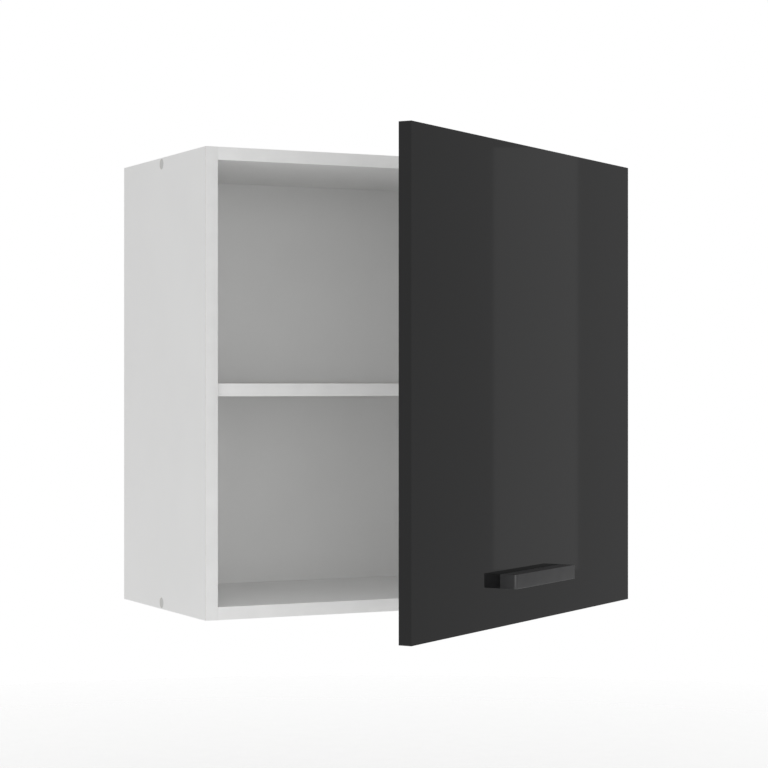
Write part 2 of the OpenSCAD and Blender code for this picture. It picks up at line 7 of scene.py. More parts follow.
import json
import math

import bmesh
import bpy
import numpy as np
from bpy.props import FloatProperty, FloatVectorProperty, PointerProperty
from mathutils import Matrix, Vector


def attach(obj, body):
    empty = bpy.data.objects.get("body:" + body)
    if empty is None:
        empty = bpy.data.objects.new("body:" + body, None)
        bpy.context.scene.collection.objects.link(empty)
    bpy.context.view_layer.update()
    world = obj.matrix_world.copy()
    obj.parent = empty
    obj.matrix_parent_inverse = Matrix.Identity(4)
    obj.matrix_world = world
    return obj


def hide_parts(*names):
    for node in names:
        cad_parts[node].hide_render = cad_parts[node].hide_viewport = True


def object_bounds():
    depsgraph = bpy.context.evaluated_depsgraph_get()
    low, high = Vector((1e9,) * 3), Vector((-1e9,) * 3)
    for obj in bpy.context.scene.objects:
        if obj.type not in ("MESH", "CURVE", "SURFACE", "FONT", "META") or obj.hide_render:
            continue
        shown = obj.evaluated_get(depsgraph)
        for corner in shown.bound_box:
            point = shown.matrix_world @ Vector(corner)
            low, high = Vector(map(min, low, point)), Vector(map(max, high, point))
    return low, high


bl_info = {
    "name": "Hanging wall cabinet",
    "version": (1, 0, 0),
    "blender": (4, 5, 0),
    "location": "View3D > Sidebar > Cabinet",
    "description": "White wall cabinet with a gloss door, a bar handle and concealed hinges",
    "category": "Object",
}

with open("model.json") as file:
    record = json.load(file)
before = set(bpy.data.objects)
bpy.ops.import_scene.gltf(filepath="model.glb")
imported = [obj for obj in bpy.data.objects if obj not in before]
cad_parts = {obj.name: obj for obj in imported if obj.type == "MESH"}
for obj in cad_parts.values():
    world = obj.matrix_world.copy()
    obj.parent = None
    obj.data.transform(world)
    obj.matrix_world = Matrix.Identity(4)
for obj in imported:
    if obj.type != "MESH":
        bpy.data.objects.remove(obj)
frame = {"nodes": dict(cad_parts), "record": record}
FRAME_BOX = [list(corner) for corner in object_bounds()]

MM = 0.001
SMOOTH_BELOW = math.radians(35)   # faces that meet at less than this shade as one
ROUND_ABOVE = math.radians(40)    # edges sharper than this are rounded
FLAT_WITHIN = math.radians(1.0)   # triangles within this lie in one flat face
ON_FACE = 0.2 * MM                # a face this near a board's broad side is part of it
BEHAVIOUR = frame["record"]["behaviour"]
NODE_BODY = {node: body for body, nodes in BEHAVIOUR["bodies"].items() for node in nodes}


def open_angle():
    """How far the door stands open: its joint's way back to closed, less the link's share."""
    joint = next(j for j in BEHAVIOUR["joints"] if j["name"] == "door_swing")
    link = next(c for c in BEHAVIOUR["couplings"] if c["joint"] == "outer_link_swing")
    return -math.radians(joint["range_deg"][0]) * (1 + link["ratio"])


DOOR_ANGLE = open_angle()


# ---- sizes and colours ------------------------------------------------------------------

def length_mm(name, description, millimetres):
    """A length property, stated here in millimetres."""
    return FloatProperty(name=name, description=description, default=millimetres * MM,
                         unit="LENGTH", precision=5)


def colour(name, description, rgb):
    """A linear colour property."""
    return FloatVectorProperty(name=name, description=description, default=rgb, size=3,
                               min=0.0, max=1.0, subtype="COLOR")


class CabinetSizes(bpy.types.PropertyGroup):
    """Small lengths that the frame doesn't hold."""
    board_round: length_mm("Board edge", "Rounding of the boards' edges", 0.4)
    band_round: length_mm("Banding edge", "Rounding of the edge banding", 0.3)
    door_round: length_mm("Door edge", "Rounding of the door's edges", 1.0)
    handle_wall: length_mm("Handle wall", "Wall of the hollow handle", 3.0)
    handle_corner: length_mm("Handle corner", "Rounding of the handle's upright corners", 3.5)
    handle_edge: length_mm("Handle edge", "Rounding of the handle's long edges", 0.5)
    handle_root: length_mm("Handle root", "Slope where the handle's inside meets its top", 1.0)
    handle_rear_wall: length_mm("Handle rear wall", "Wall of the handle against the door", 0.8)
    handle_rear_corner: length_mm("Handle rear corner", "Rounding of the corners at the door", 0.4)
    handle_least_corner: length_mm("Handle inner corner", "Least rounding of inside corners", 0.6)
    boss_half: length_mm("Boss half width", "Half the width of the handle's screw bosses", 5.0)
    boss_edge: length_mm("Boss edge", "Rounding of the screw bosses", 0.6)
    metal_round: length_mm("Fitting edge", "Rounding of stamped and cast fittings", 0.25)
    plastic_round: length_mm("Moulding edge", "Rounding of moulded covers", 0.8)


class CabinetColours(bpy.types.PropertyGroup):
    """Base colours, linear."""
    melamine: colour("Melamine", "White melamine faces", (0.90, 0.90, 0.895))
    banding: colour("Edge banding", "White edge banding", (0.82, 0.82, 0.815))
    chipboard: colour("Chipboard", "Raw chipboard on edges without banding", (0.42, 0.29, 0.16))
    hardboard: colour("Hardboard", "Raw rear face of the back panel", (0.26, 0.165, 0.095))
    door: colour("Door", "Gloss face of the door", (0.0018, 0.0019, 0.0022))
    handle: colour("Handle", "Satin bar handle", (0.041, 0.0413, 0.0425))
    nickel: colour("Nickel", "Plated hinge parts", (0.66, 0.64, 0.60))
    zinc: colour("Zinc", "Die-cast fittings", (0.47, 0.48, 0.50))
    plastic: colour("Plastic", "Hanger housings and covers", (0.74, 0.74, 0.72))
    cap: colour("Screw cap", "Caps over the corner screws", (0.62, 0.62, 0.61))
    beech: colour("Beech", "Dowels", (0.50, 0.30, 0.15))


class CabinetStage(bpy.types.PropertyGroup):
    """Camera and light."""
    lens: FloatProperty(name="Lens", description="Focal length for a 36 mm sensor", default=100.43)
    camera_place: FloatVectorProperty(name="Camera", description="Camera position", size=3,
                                      default=(-1.2594, -2.7438, 0.2893), subtype="XYZ", unit="LENGTH")
    camera_turn: FloatProperty(name="Camera turn", description="Heading to the right of straight ahead",
                               default=math.radians(26.19), subtype="ANGLE")
    floor_drop: FloatProperty(name="Floor drop", description="Floor below the cabinet", default=0.45,
                              unit="LENGTH")
    floor_radius: FloatProperty(name="Floor radius", description="Where the floor has faded out",
                                default=2.6, unit="LENGTH")
    sky: FloatProperty(name="Surround light", description="Strength of the even surround", default=0.735)
    key: FloatProperty(name="Key light", description="Power of the key light", default=9.5, unit="POWER")
    fill: FloatProperty(name="Front fill", description="Power of the fill light from the front",
                        default=11.5, unit="POWER")
    strip: FloatProperty(name="Strip light", description="Power of the strip light seen in the gloss",
                         default=0.05, unit="POWER")


def sizes():
    return bpy.context.scene.cabinet_sizes


def colours():
    return bpy.context.scene.cabinet_colours


# ---- node materials ---------------------------------------------------------------------

class Nodes:
    """A material's node tree with short calls to add and join nodes."""

    def __init__(self, name):
        self.material = bpy.data.materials.new(name)
        self.material.use_nodes = True
        self.tree = self.material.node_tree
        self.shader = self.tree.nodes["Principled BSDF"]
        self.object_coords = self.add("ShaderNodeTexCoord").outputs["Object"]

    def add(self, kind, **settings):
        node = self.tree.nodes.new(kind)
        for key, value in settings.items():
            setattr(node, key, value)
        return node

    def link(self, source, target):
        self.tree.links.new(source, target)

    def stretched(self, scale):
        """Object coordinates multiplied along x, y, z."""
        mapping = self.add("ShaderNodeMapping")
        mapping.inputs["Scale"].default_value = scale
        self.link(self.object_coords, mapping.inputs["Vector"])
        return mapping.outputs["Vector"]

    def noise(self, scale, detail=4.0, roughness=0.5, coords=None):
        node = self.add("ShaderNodeTexNoise")
        node.inputs["Scale"].default_value = scale
        node.inputs["Detail"].default_value = detail
        node.inputs["Roughness"].default_value = roughness
        self.link(coords or self.object_coords, node.inputs["Vector"])
        return node.outputs["Fac"]

    def cells(self, scale):
        node = self.add("ShaderNodeTexVoronoi", feature="F1")
        node.inputs["Scale"].default_value = scale
        self.link(self.object_coords, node.inputs["Vector"])
        return node

    def ramp(self, source, stops):
        """A colour ramp through (place, colour) stops."""
        node = self.add("ShaderNodeValToRGB")
        elements = node.color_ramp.elements
        while len(elements) < len(stops):
            elements.new(0.5)
        for element, (place, rgb) in zip(elements, stops):
            element.position = place
            element.color = (*rgb, 1.0)
        self.link(source, node.inputs["Fac"])
        return node.outputs["Color"]

    def span(self, source, low, high, from_low=0.0, from_high=1.0):
        node = self.add("ShaderNodeMapRange")
        limits = {"From Min": from_low, "From Max": from_high, "To Min": low, "To Max": high}
        for socket, value in limits.items():
            node.inputs[socket].default_value = value
        self.link(source, node.inputs["Value"])
        return node.outputs["Result"]

    def maths(self, operation, a, b):
        node = self.add("ShaderNodeMath", operation=operation)
        for socket, value in zip(node.inputs, (a, b)):
            if isinstance(value, (int, float)):
                socket.default_value = value
            else:
                self.link(value, socket)
        return node.outputs[0]

    def bump(self, *heights):
        """Chained bumps from (height output, distance in metres, strength)."""
        normal = None
        for height, distance, strength in heights:
            node = self.add("ShaderNodeBump")
            node.inputs["Distance"].default_value = distance
            node.inputs["Strength"].default_value = strength
            self.link(height, node.inputs["Height"])
            if normal is not None:
                self.link(normal, node.inputs["Normal"])
            normal = node.outputs["Normal"]
        self.link(normal, self.shader.inputs["Normal"])

    def fixed(self, socket, value):
        self.shader.inputs[socket].default_value = value


def shades(rgb, *factors):
    """The same colour made lighter or darker by each factor."""
    return [tuple(min(1.0, channel * factor) for channel in rgb) for factor in factors]


def melamine(name, rgb, pebble=0.00003):
    """Pressed melamine: fine pebble, faint cloudiness and slightly uneven sheen."""
    n = Nodes(name)
    dark, mid, light = shades(rgb, 0.985, 1.0, 1.01)
    clouds = n.noise(9.0, 3.0)
    n.link(n.ramp(clouds, [(0.3, dark), (0.55, mid), (0.8, light)]), n.shader.inputs["Base Color"])
    handled = n.noise(24.0, 6.0, 0.62)
    n.link(n.span(handled, 0.34, 0.5), n.shader.inputs["Roughness"])
    n.fixed("Specular IOR Level", 0.45)
    n.bump((n.noise(2600.0, 2.0), pebble, 0.35), (n.cells(900.0).outputs["Distance"], pebble, 0.18))
    return n.material


def edge_banding(name, rgb):
    """Plastic banding: smoother than the face, with fine lines along its length."""
    n = Nodes(name)
    dark, mid = shades(rgb, 0.95, 1.01)
    lines = n.noise(1.0, 3.0, 0.5, n.stretched((900.0, 900.0, 14.0)))
    n.link(n.ramp(n.noise(30.0, 4.0), [(0.25, dark), (0.7, mid)]), n.shader.inputs["Base Color"])
    n.link(n.span(lines, 0.26, 0.42), n.shader.inputs["Roughness"])
    n.bump((lines, 0.00002, 0.3))
    return n.material


def chipboard(name, rgb):
    """Sawn chipboard: pale and dark flakes of several sizes, pits between them."""
    n = Nodes(name)
    flakes = n.cells(420.0)
    fine = n.cells(1300.0)
    dark, mid, light = shades(rgb, 0.55, 1.0, 1.55)
    coarse_share = n.maths("MULTIPLY", flakes.outputs["Color"], 0.6)
    fine_share = n.maths("MULTIPLY", fine.outputs["Color"], 0.4)
    mixed = n.maths("ADD", coarse_share, fine_share)
    n.link(n.ramp(mixed, [(0.2, dark), (0.5, mid), (0.8, light)]), n.shader.inputs["Base Color"])
    n.link(n.span(n.noise(300.0), 0.75, 0.95), n.shader.inputs["Roughness"])
    n.bump((flakes.outputs["Distance"], 0.0004, 0.5), (n.noise(1500.0, 4.0), 0.0002, 0.5))
    return n.material


def hardboard(name, rgb):
    """Bare hardboard: dark brown felted fibre with faint blotches."""
    n = Nodes(name)
    fibre = n.noise(520.0, 8.0, 0.7)
    blotches = n.noise(14.0, 4.0)
    dark, mid, light = shades(rgb, 0.7, 1.0, 1.35)
    tone = n.maths("ADD", n.maths("MULTIPLY", fibre, 0.85), n.maths("MULTIPLY", blotches, 0.15))
    n.link(n.ramp(tone, [(0.35, dark), (0.5, mid), (0.65, light)]), n.shader.inputs["Base Color"])
    n.link(n.span(fibre, 0.72, 0.92), n.shader.inputs["Roughness"])
    n.fixed("Specular IOR Level", 0.3)
    n.bump((fibre, 0.0002, 0.6))
    return n.material


def gloss_lacquer(name, rgb):
    """High-gloss foil: near-black body under a clear coat with a trace of ripple and fine wiping marks."""
    n = Nodes(name)
    dark, light = shades(rgb, 0.93, 1.06)
    n.link(n.ramp(n.noise(6.0, 2.0), [(0.3, dark), (0.7, light)]), n.shader.inputs["Base Color"])
    wiped = n.noise(1.0, 5.0, 0.6, n.stretched((14.0, 14.0, 60.0)))
    n.link(n.span(wiped, 0.02, 0.045), n.shader.inputs["Roughness"])
    n.fixed("IOR", 1.5)
    n.fixed("Coat Weight", 0.1)
    n.fixed("Coat Roughness", 0.02)
    n.bump((n.noise(38.0, 2.0), 0.00002, 0.12))
    return n.material


def satin_coating(name, rgb):
    """Satin powder coat on the handle: tiny grain, slightly uneven tone and sheen."""
    n = Nodes(name)
    dark, light = shades(rgb, 0.88, 1.12)
    n.link(n.ramp(n.noise(60.0, 5.0), [(0.3, dark), (0.7, light)]), n.shader.inputs["Base Color"])
    n.link(n.span(n.noise(45.0, 6.0, 0.6), 0.26, 0.4), n.shader.inputs["Roughness"])
    n.fixed("Specular IOR Level", 0.6)
    n.bump((n.noise(3800.0, 2.0), 0.00002, 0.4))
    return n.material


def plated(name, rgb, rough=(0.2, 0.36), lines=(40.0, 40.0, 1200.0), grain=0.00002):
    """Plated or cast metal: uneven sheen, drawn lines or grain, dull spots."""
    n = Nodes(name)
    dark, light = shades(rgb, 0.82, 1.06)
    n.link(n.ramp(n.noise(260.0, 5.0, 0.6), [(0.3, dark), (0.62, light)]), n.shader.inputs["Base Color"])
    drawn = n.noise(1.0, 3.0, 0.5, n.stretched(lines))
    n.link(n.span(drawn, *rough), n.shader.inputs["Roughness"])
    n.fixed("Metallic", 1.0)
    n.bump((drawn, grain, 0.35))
    return n.material


def moulded(name, rgb, rough=(0.38, 0.52)):
    """Moulded plastic: eroded grain with slightly uneven sheen."""
    n = Nodes(name)
    dark, light = shades(rgb, 0.96, 1.02)
    n.link(n.ramp(n.noise(40.0, 3.0), [(0.3, dark), (0.7, light)]), n.shader.inputs["Base Color"])
    n.link(n.span(n.noise(700.0, 3.0), *rough), n.shader.inputs["Roughness"])
    n.bump((n.noise(3000.0, 3.0), 0.00003, 0.5))
    return n.material


def beech(name, rgb):
    """Beech with flecks along the dowel."""
    n = Nodes(name)
    dark, light = shades(rgb, 0.8, 1.15)
    grain = n.noise(1.0, 6.0, 0.6, n.stretched((60.0, 900.0, 900.0)))
    n.link(n.ramp(grain, [(0.35, dark), (0.65, light)]), n.shader.inputs["Base Color"])
    n.fixed("Roughness", 0.6)
    n.bump((grain, 0.0001, 0.5))
    return n.material


def clear_rubber(name):
    """Soft clear buffer, slightly milky."""
    n = Nodes(name)
    milky, clear = (0.78, 0.79, 0.8), (0.9, 0.9, 0.9)
    n.link(n.ramp(n.noise(300.0), [(0.2, milky), (0.8, clear)]), n.shader.inputs["Base Color"])
    n.link(n.span(n.noise(900.0), 0.12, 0.3), n.shader.inputs["Roughness"])
    n.fixed("Transmission Weight", 0.7)
    n.fixed("IOR", 1.45)
    return n.material


FINISHES = {
    "melamine": lambda c: melamine("white_melamine", c.melamine),
    "back_face": lambda c: melamine("white_back_face", shades(c.melamine, 0.97)[0], 0.00006),
    "banding": lambda c: edge_banding("white_edge_banding", c.banding),
    "chipboard": lambda c: chipboard("raw_chipboard", c.chipboard),
    "hardboard": lambda c: hardboard("raw_hardboard", c.hardboard),
    "door": lambda c: gloss_lacquer("anthracite_gloss", c.door),
    "handle": lambda c: satin_coating("anthracite_satin", c.handle),
    "nickel": lambda c: plated("nickel_plate", c.nickel),
    "zinc": lambda c: plated("die_cast_zinc", c.zinc, (0.38, 0.55), (700.0, 700.0, 700.0), 0.00005),
    "screw": lambda c: plated("screw_plate", shades(c.nickel, 0.95)[0], (0.22, 0.4), (900.0, 900.0, 900.0)),
    "plastic": lambda c: moulded("white_moulding", c.plastic),
    "cap": lambda c: moulded("cap_moulding", c.cap, (0.42, 0.55)),
    "beech": lambda c: beech("bare_beech", c.beech),
    "rubber": lambda c: clear_rubber("clear_buffer"),
}
MADE = {}


def finish(name):
    """The finish's material, made once."""
    if name not in MADE:
        MADE[name] = FINISHES[name](colours())
    return MADE[name]


# ---- surfaces ---------------------------------------------------------------------------

def turned(points, angle):
    """Points turned about the upright axis through the origin."""
    c, s = math.cos(angle), math.sin(angle)
    matrix = np.array([[c, -s, 0.0], [s, c, 0.0], [0.0, 0.0, 1.0]])
    return points @ matrix.T


def node_points(node):
    """All vertices of a frame node, in metres."""
    mesh = frame["nodes"][node].data
    points = np.empty(len(mesh.vertices) * 3)
    mesh.vertices.foreach_get("co", points)
    return points.reshape(-1, 3)


def node_box(node, angle=0.0):
    """Lowest and highest corner of a node, in axes turned by angle about the upright."""
    points = turned(node_points(node), -angle)
    return points.min(axis=0), points.max(axis=0)


def add_piece(name, vertices, faces, materials):
    """A mesh object at the origin from arrays, with outward faces and smooth shading by angle."""
    mesh = bpy.data.meshes.new(name)
    mesh.from_pydata(vertices.tolist(), [], faces)
    for material in materials:
        mesh.materials.append(finish(material))
    mesh.validate()
    piece = bpy.data.objects.new(name, mesh)
    bpy.context.scene.collection.objects.link(piece)
    mesh.set_sharp_from_angle(angle=SMOOTH_BELOW)
    mesh.polygons.foreach_set("use_smooth", np.ones(len(mesh.polygons), dtype=bool))
    mesh.update()
    return piece


def grid_faces(rings, around):
    """Quads of a grid that is closed round its second direction."""
    i, j = np.meshgrid(np.arange(rings - 1), np.arange(around), indexing="ij")
    k = (j + 1) % around
    quads = np.stack([i * around + j, i * around + k, (i + 1) * around + k, (i + 1) * around + j], axis=-1)
    return quads.reshape(-1, 4)


def tube(loops):
    """Closed surface through loops of equal point count, each end closed by one flat face.

    loops has the shape (rings, around, 3) and turns anticlockwise seen from the last ring.
    """
    rings, around = loops.shape[:2]
    faces = grid_faces(rings, around).tolist()
    faces.append(list(range(around))[::-1])
    faces.append([(rings - 1) * around + j for j in range(around)])
    return loops.reshape(-1, 3), faces


def rounded_rectangle(low, high, radii, steps=6):
    """Outline of a rectangle whose corner k is a quarter circle of radii[k].

    Corners go anticlockwise from the low-low one; a point is centre + r (cos a, sin a).
    """
    (x0, y0), (x1, y1) = low, high
    parts = []
    corners = ((x0, y0, 1, 1), (x1, y0, -1, 1), (x1, y1, -1, -1), (x0, y1, 1, -1))
    for k, (cx, cy, sx, sy) in enumerate(corners):
        r = max(radii[k], 1e-6)
        a = math.pi + k * math.pi / 2 + np.linspace(0, math.pi / 2, steps)
        parts.append(np.stack([cx + sx * r + r * np.cos(a), cy + sy * r + r * np.sin(a)], axis=-1))
    return np.concatenate(parts)


def rounded_slab(low, high, axis, edge, steps=4):
    """Box whose twelve edges are rounded: an outline in the plane across axis, carried along axis.

    Near each end the outline draws in by edge (1 - cos a) while it moves by edge (1 - sin a).
    """
    low, high = np.asarray(low, float), np.asarray(high, float)
    u, v = [(1, 2), (2, 0), (0, 1)][axis]
    a = np.linspace(math.pi / 2, 0, steps)
    inset = np.concatenate([edge * (1 - np.cos(a)), edge * (1 - np.cos(a[::-1]))])
    along = np.concatenate([low[axis] + edge * (1 - np.sin(a)), high[axis] - edge * (1 - np.sin(a[::-1]))])
    loops = []
    for i, h in zip(inset, along):
        corner = max(edge - i, edge * 0.3)
        flat = rounded_rectangle((low[u] + i, low[v] + i), (high[u] - i, high[v] - i), [corner] * 4)
        loop = np.empty((len(flat), 3))
        loop[:, u], loop[:, v], loop[:, axis] = flat[:, 0], flat[:, 1], h
        loops.append(loop)
    return tube(np.array(loops))


def settle(piece, node):
    """The piece rides on the node's body and stands for it."""
    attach(piece, NODE_BODY[node])
    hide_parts(node)


def bevelled(piece, width, segments):
    """Rounds the piece's sharp edges."""
    bevel = piece.modifiers.new("edges", "BEVEL")
    bevel.width = width
    bevel.segments = segments
    bevel.limit_method = "ANGLE"
    bevel.angle_limit = ROUND_ABOVE
    bevel.use_clamp_overlap = True


def refined(node, materials, width, choose=None, segments=2):
    """A merged copy of a frame node with rounded edges, whose flat faces are one polygon each.

    choose takes the faces' centres and normals and gives each face's material number.
    """
    points = np.round(node_points(node), 7)
    mesh = frame["nodes"][node].data
    corners = np.empty(len(mesh.loops), dtype=int)
    mesh.loops.foreach_get("vertex_index", corners)
    unique, place = np.unique(points, axis=0, return_inverse=True)
    triangles = place.reshape(-1)[corners].reshape(-1, 3)
    real = (triangles != np.roll(triangles, 1, axis=1)).all(axis=1)
    piece = add_piece(f"{node}_finished", unique, triangles[real].tolist(), materials)
    work = bmesh.new()
    work.from_mesh(piece.data)
    bmesh.ops.dissolve_limit(work, angle_limit=FLAT_WITHIN, verts=work.verts, edges=work.edges)
    work.to_mesh(piece.data)
    work.free()
    if choose is not None:
        centres = np.array([face.center for face in piece.data.polygons])
        normals = np.array([face.normal for face in piece.data.polygons])
        piece.data.polygons.foreach_set("material_index", choose(centres, normals).astype(int))
    bevelled(piece, width, segments)
    settle(piece, node)


# ---- pieces -----------------------------------------------------------------------------

class CABINET_OT_boards(bpy.types.Operator):
    """Sides, top, bottom and shelf: melamine faces, bare chipboard on the edges without banding."""
    bl_idname = "cabinet.boards"
    bl_label = "Boards"

    def execute(self, context):
        edge = sizes().board_round
        for node in ("side_panel_left", "side_panel_right", "top_panel", "bottom_panel", "shelf"):
            low, high = node_box(node)
            thin = int(np.argmin(high - low))

            def choose(centres, normals, low=low, high=high, thin=thin):
                """Bare on the outer edges and in the holes and grooves, faced on the two broad sides."""
                across = np.abs(normals[:, thin]) > 0.9
                place = centres[:, thin]
                on_face = (np.abs(place - low[thin]) < ON_FACE) | (np.abs(place - high[thin]) < ON_FACE)
                return np.where(across & on_face, 0, 1)

            refined(node, ["melamine", "chipboard"], edge, choose)
        return {"FINISHED"}


class CABINET_OT_back(bpy.types.Operator):
    """Back panel: white on the room side, bare hardboard on the wall side."""
    bl_idname = "cabinet.back"
    bl_label = "Back panel"

    def execute(self, context):
        refined("back_panel", ["back_face", "hardboard"], sizes().metal_round,
                lambda centres, normals: np.where(normals[:, 1] < -0.9, 0, 1))
        return {"FINISHED"}


class CABINET_OT_edge_banding(bpy.types.Operator):
    """Banding strips: an outline across the strip, carried along it, all edges rounded."""
    bl_idname = "cabinet.edge_banding"
    bl_label = "Edge banding"

    def execute(self, context):
        for place in ("left", "right", "top", "bottom", "shelf"):
            node = f"edge_band_{place}"
            low, high = node_box(node)
            long_axis = int(np.argmax(high - low))
            vertices, faces = rounded_slab(low, high, long_axis, sizes().band_round)
            settle(add_piece(f"{node}_strip", vertices, faces, ["banding"]), node)
        return {"FINISHED"}


class CABINET_OT_door(bpy.types.Operator):
    """Door leaf: an upright slab, gloss on the front and the edges, white on the back."""
    bl_idname = "cabinet.door"
    bl_label = "Door"

    def execute(self, context):
        def choose(centres, normals):
            """White on the back face, bare at the bottom of the drillings, gloss elsewhere."""
            faces_back = turned(normals, -DOOR_ANGLE)[:, 1] > 0.9
            back_y = node_box("door_panel", DOOR_ANGLE)[1][1]
            drilled = turned(centres, -DOOR_ANGLE)[:, 1] < back_y - 0.5 * MM
            return np.where(faces_back & ~drilled, 1, np.where(faces_back & drilled, 2, 0))

        refined("door_panel", ["door", "melamine", "chipboard"], sizes().door_round, choose, segments=3)
        return {"FINISHED"}


class CABINET_OT_handle(bpy.types.Operator):
    """Bar handle: closed on top, in front and at the ends, hollow from below."""
    bl_idname = "cabinet.handle"
    bl_label = "Handle"

    def execute(self, context):
        s = sizes()
        low, high = node_box("handle", DOOR_ANGLE)
        edge, wall = s.handle_edge, s.handle_wall
        a = np.linspace(0, math.pi / 2, 5)
        # heights and insets, from the top down the outside, round the rim, and up the inside
        inset = np.concatenate([edge * (1 - np.sin(a)), edge * (1 - np.cos(a)),
                                [wall - edge * 0.5, wall, wall, wall + s.handle_root]])
        height = np.concatenate([high[2] - edge * (1 - np.cos(a)), low[2] + edge * (1 - np.sin(a)),
                                 [low[2], low[2] + edge * 0.5, high[2] - wall - s.handle_root,
                                  high[2] - wall]])
        loops = []
        for i, h in zip(inset, height):
            rear = min(i, s.handle_rear_wall)
            corner = max(s.handle_corner - i, s.handle_least_corner)
            flat = rounded_rectangle((low[0] + i, low[1] + i), (high[0] - i, high[1] - rear),
                                     [corner, corner, s.handle_rear_corner, s.handle_rear_corner], 8)
            loops.append(np.column_stack([flat, np.full(len(flat), h)]))
        vertices, faces = tube(np.array(loops)[::-1])
        piece = add_piece("handle_shell", turned(vertices, DOOR_ANGLE), faces, ["handle"])
        settle(piece, "handle")
        screws_low, screws_high = node_box("handle_screws", DOOR_ANGLE)
        radius = (screws_high[2] - screws_low[2]) / 2
        for side, x in (("hinge", screws_high[0] - radius), ("free", screws_low[0] + radius)):
            half = s.boss_half
            boss_low = (x - half, low[1] + wall * 0.5, (low[2] + high[2]) / 2 - half)
            boss_high = (x + half, high[1], high[2] - wall * 0.5)
            vertices, faces = rounded_slab(boss_low, boss_high, 1, s.boss_edge)
            boss = add_piece(f"handle_boss_{side}", turned(vertices, DOOR_ANGLE), faces, ["handle"])
            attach(boss, NODE_BODY["handle"])
        return {"FINISHED"}


class CABINET_OT_hinges(bpy.types.Operator):
    """Concealed hinges: cast plates, stamped arms, links, cups and pins with rounded edges."""
    bl_idname = "cabinet.hinges"
    bl_label = "Hinges"

    def execute(self, context):
        edge = sizes().metal_round
        for level in ("lower", "upper"):
            refined(f"hinge_plate_{level}", ["zinc"], edge * 2)
            for part in ("hinge_arm", "outer_link", "inner_link", "hinge_cup"):
                refined(f"{part}_{level}", ["nickel"], edge)
        for node in ("hinge_arm_pins", "inner_link_pins", "hinge_cup_pins"):
            refined(node, ["screw"], edge)
        return {"FINISHED"}


class CABINET_OT_screws(bpy.types.Operator):
    """Screws with rounded heads and cross recesses."""
    bl_idname = "cabinet.screws"
    bl_label = "Screws"

    def execute(self, context):
        for node in ("corner_screws", "hanger_screws", "hinge_plate_screws", "hinge_arm_screws",
                     "hinge_cup_screws", "handle_screws", "shelf_pins"):
            refined(node, ["screw"], sizes().metal_round * 1.2)
        return {"FINISHED"}


class CABINET_OT_hangers(bpy.types.Operator):
    """Cabinet hangers: housings, hooks and snap-on covers."""
    bl_idname = "cabinet.hangers"
    bl_label = "Hangers"

    def execute(self, context):
        for side in ("left", "right"):
            refined(f"hanger_housing_{side}", ["plastic"], sizes().plastic_round * 0.5)
            refined(f"hanger_cover_{side}", ["plastic"], sizes().plastic_round * 0.6, segments=3)
            refined(f"hanger_hook_{side}", ["zinc"], sizes().metal_round * 2)
        return {"FINISHED"}


class CABINET_OT_small_parts(bpy.types.Operator):
    """Screw caps, door buffers and dowels."""
    bl_idname = "cabinet.small_parts"
    bl_label = "Small parts"

    def execute(self, context):
        refined("corner_screw_caps", ["cap"], sizes().metal_round)
        refined("door_bumpers", ["rubber"], sizes().plastic_round * 0.5, segments=3)
        refined("corner_dowels", ["beech"], sizes().plastic_round)
        return {"FINISHED"}


# ---- stage ------------------------------------------------------------------------------

def area_light(name, place, target, width, height, power):
    """A soft rectangular light aimed at a point."""
    data = bpy.data.lights.new(name, "AREA")
    data.shape = "RECTANGLE"
    data.size, data.size_y = width, height
    data.energy = power
    light = bpy.data.objects.new(name, data)
    light.location = place
    light.rotation_euler = (Vector(target) - Vector(place)).to_track_quat("-Z", "Y").to_euler()
    bpy.context.scene.collection.objects.link(light)


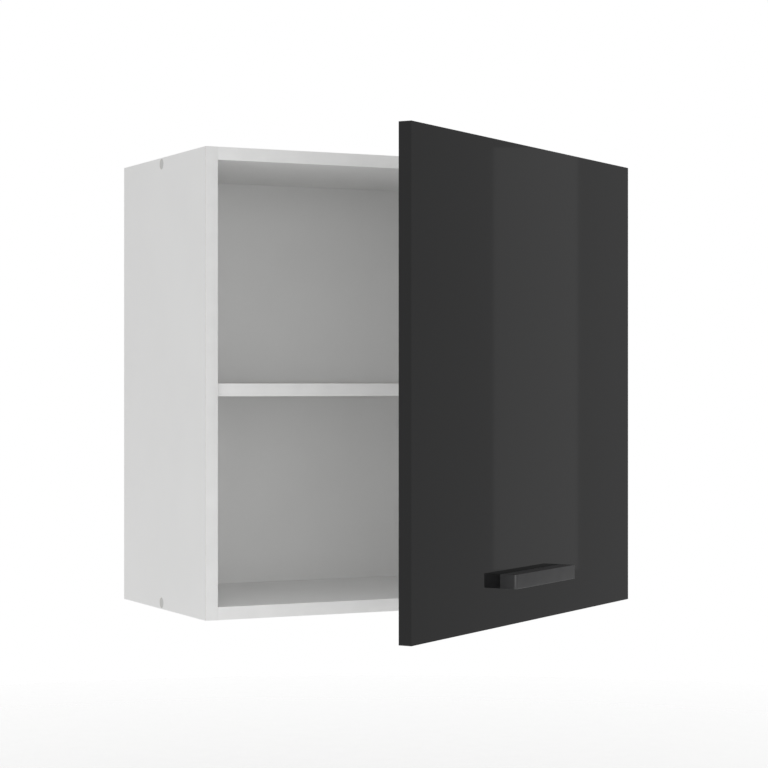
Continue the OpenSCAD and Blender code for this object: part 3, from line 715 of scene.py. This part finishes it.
class CABINET_OT_stage(bpy.types.Operator):
    """Camera, pale floor and soft light."""
    bl_idname = "cabinet.stage"
    bl_label = "Stage"

    def execute(self, context):
        stage = context.scene.cabinet_stage
        camera = bpy.data.objects.new("camera", bpy.data.cameras.new("camera"))
        camera.data.lens = stage.lens
        camera.data.sensor_width = 36.0
        camera.location = stage.camera_place
        camera.rotation_euler = (math.pi / 2, 0.0, -stage.camera_turn)
        context.scene.collection.objects.link(camera)
        context.scene.camera = camera
        context.scene.view_settings.view_transform = "Standard"
        self.surround(context, stage)
        self.floor(stage)
        middle = (0.0, -0.2, 0.3)
        area_light("key", (-1.6, -2.9, 1.5), middle, 2.4, 2.0, stage.key)
        area_light("front_fill", (-0.5, -3.4, 0.35), middle, 1.6, 1.6, stage.fill)
        area_light("gloss_strip", (2.5, -0.12, 0.35), (0.0, -0.3, 0.35), 0.2, 1.0, stage.strip)
        return {"FINISHED"}

    def surround(self, context, stage):
        """White surround, brighter to the camera than as a light, dimmer to both sides."""
        world = bpy.data.worlds.new("surround")
        world.use_nodes = True
        context.scene.world = world
        tree = world.node_tree
        tree.nodes.clear()
        output = tree.nodes.new("ShaderNodeOutputWorld")
        mix = tree.nodes.new("ShaderNodeMixShader")
        seen = tree.nodes.new("ShaderNodeBackground")
        seen.inputs["Strength"].default_value = 1.0
        seen.inputs["Color"].default_value = (1.0, 1.0, 1.0, 1.0)
        lit = tree.nodes.new("ShaderNodeBackground")
        path = tree.nodes.new("ShaderNodeLightPath")
        coords = tree.nodes.new("ShaderNodeTexCoord")
        split = tree.nodes.new("ShaderNodeSeparateXYZ")
        place = tree.nodes.new("ShaderNodeMapRange")
        place.inputs["From Min"].default_value = -1.0
        shade = tree.nodes.new("ShaderNodeValToRGB")
        stops = ((0.0, 0.78), (0.48, 1.0), (0.56, 1.0), (0.9, 0.50), (1.0, 0.43))  # left to right
        while len(shade.color_ramp.elements) < len(stops):
            shade.color_ramp.elements.new(0.5)
        for element, (position, grey) in zip(shade.color_ramp.elements, stops):
            element.position = position
            element.color = (grey, grey, grey, 1.0)
        lit.inputs["Strength"].default_value = stage.sky
        tree.links.new(coords.outputs["Generated"], split.inputs[0])
        tree.links.new(split.outputs["X"], place.inputs["Value"])
        tree.links.new(place.outputs["Result"], shade.inputs["Fac"])
        tree.links.new(shade.outputs["Color"], lit.inputs["Color"])
        tree.links.new(path.outputs["Is Camera Ray"], mix.inputs["Fac"])
        tree.links.new(lit.outputs[0], mix.inputs[1])
        tree.links.new(seen.outputs[0], mix.inputs[2])
        tree.links.new(mix.outputs[0], output.inputs["Surface"])

    def floor(self, stage):
        """A pale round floor: rings of points whose radius grows evenly, faded out at the rim."""
        radius = stage.floor_radius
        height = FRAME_BOX[0][2] - stage.floor_drop
        rings, around = 24, 96
        radii = np.linspace(0.02, radius, rings)
        turns = np.linspace(0, 2 * math.pi, around, endpoint=False)
        r, a = np.meshgrid(radii, turns, indexing="ij")
        points = np.stack([r * np.cos(a), r * np.sin(a) - 0.2, np.full_like(r, height)], axis=-1)
        points = points.reshape(-1, 3)
        faces = grid_faces(rings, around)[:, ::-1].tolist()
        faces.append(list(range(around)))
        mesh = bpy.data.meshes.new("floor")
        mesh.from_pydata(points.tolist(), [], faces)
        floor = bpy.data.objects.new("floor", mesh)
        bpy.context.scene.collection.objects.link(floor)
        n = Nodes("pale_floor")
        dull, pale = (0.95, 0.95, 0.947), (0.975, 0.975, 0.972)
        n.link(n.ramp(n.noise(30.0, 6.0), [(0.3, dull), (0.7, pale)]), n.shader.inputs["Base Color"])
        n.fixed("Roughness", 0.8)
        n.fixed("Specular IOR Level", 0.2)
        n.fixed("Emission Color", (1.0, 1.0, 1.0, 1.0))
        n.fixed("Emission Strength", 0.28)
        flat = n.add("ShaderNodeVectorMath", operation="LENGTH")
        squash = n.stretched((1.0, 1.0, 0.0))
        n.link(squash, flat.inputs[0])
        fade = n.span(flat.outputs["Value"], 1.0, 0.0, radius * 0.2, radius * 0.98)
        n.link(fade, n.shader.inputs["Alpha"])
        mesh.materials.append(n.material)


OPERATORS = (CABINET_OT_stage, CABINET_OT_boards, CABINET_OT_back, CABINET_OT_edge_banding,
             CABINET_OT_door, CABINET_OT_handle, CABINET_OT_hinges, CABINET_OT_screws,
             CABINET_OT_hangers, CABINET_OT_small_parts)
SETTINGS = (("cabinet_sizes", CabinetSizes), ("cabinet_colours", CabinetColours),
            ("cabinet_stage", CabinetStage))


class CABINET_PT_panel(bpy.types.Panel):
    """The cabinet's sizes, colours and pieces."""
    bl_idname = "CABINET_PT_panel"
    bl_label = "Wall cabinet"
    bl_space_type = "VIEW_3D"
    bl_region_type = "UI"
    bl_category = "Cabinet"

    def draw(self, context):
        for attribute, group in SETTINGS:
            box = self.layout.box()
            for name in group.__annotations__:
                box.prop(getattr(context.scene, attribute), name)
        for operator in OPERATORS:
            self.layout.operator(operator.bl_idname)


def register():
    for attribute, group in SETTINGS:
        bpy.utils.register_class(group)
        setattr(bpy.types.Scene, attribute, PointerProperty(type=group))
    for operator in (*OPERATORS, CABINET_PT_panel):
        bpy.utils.register_class(operator)


def unregister():
    for operator in (CABINET_PT_panel, *reversed(OPERATORS)):
        bpy.utils.unregister_class(operator)
    for attribute, group in reversed(SETTINGS):
        delattr(bpy.types.Scene, attribute)
        bpy.utils.unregister_class(group)


def main():
    register()
    for operator in OPERATORS:
        group, name = operator.bl_idname.split(".")
        getattr(getattr(bpy.ops, group), name)()


if __name__ == "__main__":
    main()
